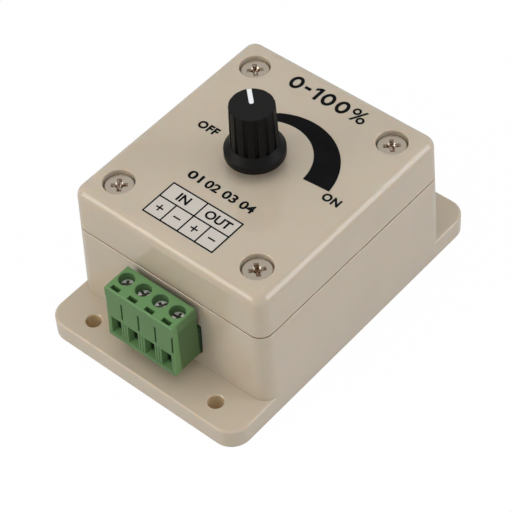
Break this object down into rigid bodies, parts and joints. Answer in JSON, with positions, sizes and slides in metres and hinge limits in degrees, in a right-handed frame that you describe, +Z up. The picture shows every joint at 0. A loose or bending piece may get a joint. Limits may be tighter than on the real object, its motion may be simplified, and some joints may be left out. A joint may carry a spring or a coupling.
{
  "type": "led dimmer",
  "caption": "Rectangular plastic dimmer box with mounting ears, a fluted rotary knob on its lid and a plug-in screw terminal in its front wall, for dimming low-voltage lights.",
  "frame": {"origin": "centre of the flange plate's underside", "axes": "+Z up through the lid and along the knob's shaft, -Y out of the front wall with the terminal, +Y along the box's length, +X to the right seen from the terminal's side"},
  "size_m": [0.0572, 0.0858, 0.0558],
  "materials": {
    "box_plastic": "satin",
    "terminal_green": "matte",
    "knob_black": "satin",
    "pointer_white": "satin",
    "screw_nickel": "polished",
    "cage_nickel": "plated",
    "contact_tin": "plated",
    "board_laminate": "satin",
    "phenolic": "matte",
    "pot_steel": "plated",
    "bushing_brass": "turned",
    "shaft_aluminium": "turned",
    "epoxy_black": "matte",
    "can_sleeve": "sleeved"
  },
  "bodies": {
    "housing": {"base_housing": "box_plastic", "lid": "box_plastic", "lid_screws": "screw_nickel", "terminal_header": "terminal_green", "circuit_board": "board_laminate", "board_screws": "screw_nickel", "header_pins": "contact_tin", "pot_wafer": "phenolic", "pot_case": "pot_steel", "pot_bushing": "bushing_brass", "pot_pins": "contact_tin", "transistor_tab": "contact_tin", "transistor_body": "epoxy_black", "transistor_leads": "contact_tin", "filter_capacitor": "can_sleeve", "capacitor_leads": "contact_tin", "timer_chip": "epoxy_black", "chip_leads": "contact_tin", "flyback_diode": "epoxy_black", "diode_tabs": "contact_tin", "chip_resistors": "epoxy_black"},
    "knob": {"knob": "knob_black", "knob_pointer": "pointer_white", "pot_shaft": "shaft_aluminium", "pot_wiper": "bushing_brass"},
    "plug": {"plug_housing": "terminal_green", "plug_contacts": "contact_tin"},
    "clamp_screw_1": {"clamp_screw_1": "screw_nickel"},
    "wire_cage_1": {"wire_cage_1": "cage_nickel"},
    "clamp_screw_2": {"clamp_screw_2": "screw_nickel"},
    "wire_cage_2": {"wire_cage_2": "cage_nickel"},
    "clamp_screw_3": {"clamp_screw_3": "screw_nickel"},
    "wire_cage_3": {"wire_cage_3": "cage_nickel"},
    "clamp_screw_4": {"clamp_screw_4": "screw_nickel"},
    "wire_cage_4": {"wire_cage_4": "cage_nickel"}
  },
  "joints": [
    {"name": "knob_turn", "type": "hinge", "parent": "housing", "child": "knob", "pos_m": [0, 0.00077, 0.0411], "axis": [0, 0, 1], "range_deg": [-197.5, 102.5]},
    {"name": "plug_pull", "type": "slide", "parent": "housing", "child": "plug", "axis": [0, -1, 0], "range_m": [0, 0.012]},
    {"name": "clamp_turn_1", "type": "hinge", "parent": "plug", "child": "clamp_screw_1", "pos_m": [-0.0075, -0.03503, 0.0218], "axis": [0, 0, 1], "range_deg": [-1729, 0]},
    {"name": "cage_lift_1", "type": "slide", "parent": "plug", "child": "wire_cage_1", "axis": [0, 0, 1], "range_m": [0, 0.0024]},
    {"name": "clamp_turn_2", "type": "hinge", "parent": "plug", "child": "clamp_screw_2", "pos_m": [-0.0025, -0.03503, 0.0218], "axis": [0, 0, 1], "range_deg": [-1729, 0]},
    {"name": "cage_lift_2", "type": "slide", "parent": "plug", "child": "wire_cage_2", "axis": [0, 0, 1], "range_m": [0, 0.0024]},
    {"name": "clamp_turn_3", "type": "hinge", "parent": "plug", "child": "clamp_screw_3", "pos_m": [0.0025, -0.03503, 0.0218], "axis": [0, 0, 1], "range_deg": [-1729, 0]},
    {"name": "cage_lift_3", "type": "slide", "parent": "plug", "child": "wire_cage_3", "axis": [0, 0, 1], "range_m": [0, 0.0024]},
    {"name": "clamp_turn_4", "type": "hinge", "parent": "plug", "child": "clamp_screw_4", "pos_m": [0.0075, -0.03503, 0.0218], "axis": [0, 0, 1], "range_deg": [-1729, 0]},
    {"name": "cage_lift_4", "type": "slide", "parent": "plug", "child": "wire_cage_4", "axis": [0, 0, 1], "range_m": [0, 0.0024]}
  ],
  "couplings": [
    {"joint": "clamp_turn_1", "follows": "cage_lift_1", "rad_per_m": -12566},
    {"joint": "clamp_turn_2", "follows": "cage_lift_2", "rad_per_m": -12566},
    {"joint": "clamp_turn_3", "follows": "cage_lift_3", "rad_per_m": -12566},
    {"joint": "clamp_turn_4", "follows": "cage_lift_4", "rad_per_m": -12566}
  ]
}
